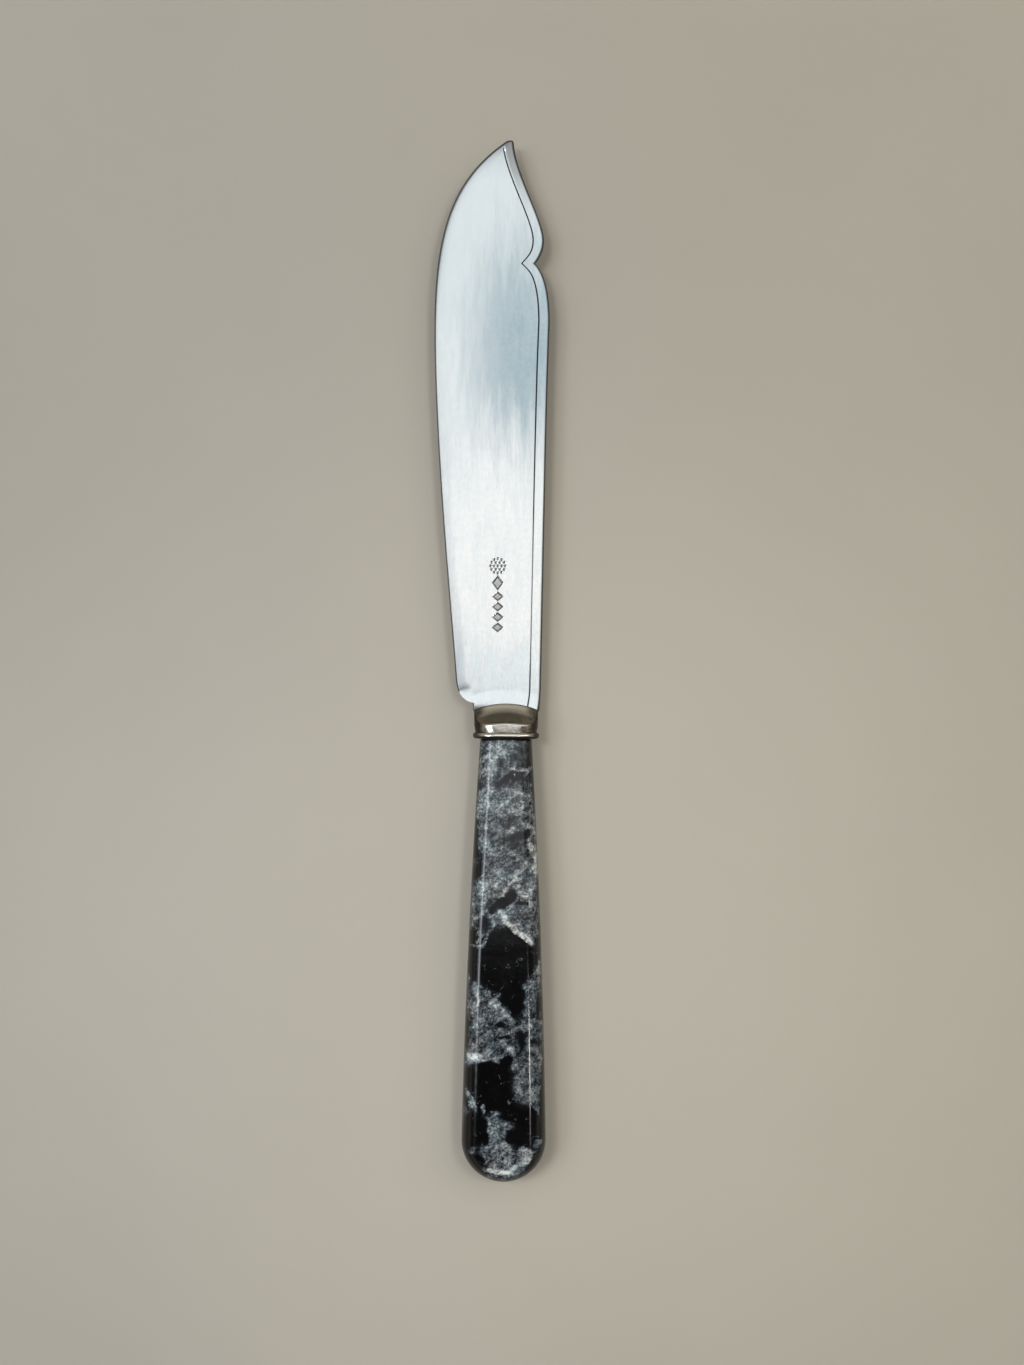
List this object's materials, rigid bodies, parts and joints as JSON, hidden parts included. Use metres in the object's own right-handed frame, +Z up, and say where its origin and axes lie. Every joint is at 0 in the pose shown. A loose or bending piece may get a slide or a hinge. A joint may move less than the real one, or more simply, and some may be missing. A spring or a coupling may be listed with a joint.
{
  "type": "fish knife",
  "caption": "Flat notched fish knife with a line cut along its back, a moulded bolster and collar, and a tapering rounded handle.",
  "frame": {"origin": "bottom centre of the whole knife, lying flat on the handle's underside", "axes": "+Y along the knife to the tip, +X to the notched back of the blade, +Z up from the surface it lies on"},
  "size_m": [0.0234, 0.21, 0.0116],
  "materials": {
    "blade_silver": "satin, finely scratched along its length",
    "bolster_silver": "polished, warm tarnish in the hollows",
    "collar_silver": "polished, tarnished in its creases",
    "solder": "dull cast",
    "tang_iron": "forged and scaled",
    "cement": "rough, resinous",
    "handle_stone": "polished, black, grey and white marbling"
  },
  "bodies": {
    "root": {"blade": "blade_silver", "blade_solder": "solder", "bolster": "bolster_silver", "collar": "collar_silver", "tang": "tang_iron", "tang_solder": "solder", "cement_bed": "cement", "cement_core": "cement", "handle": "handle_stone"}
  },
  "joints": []
}
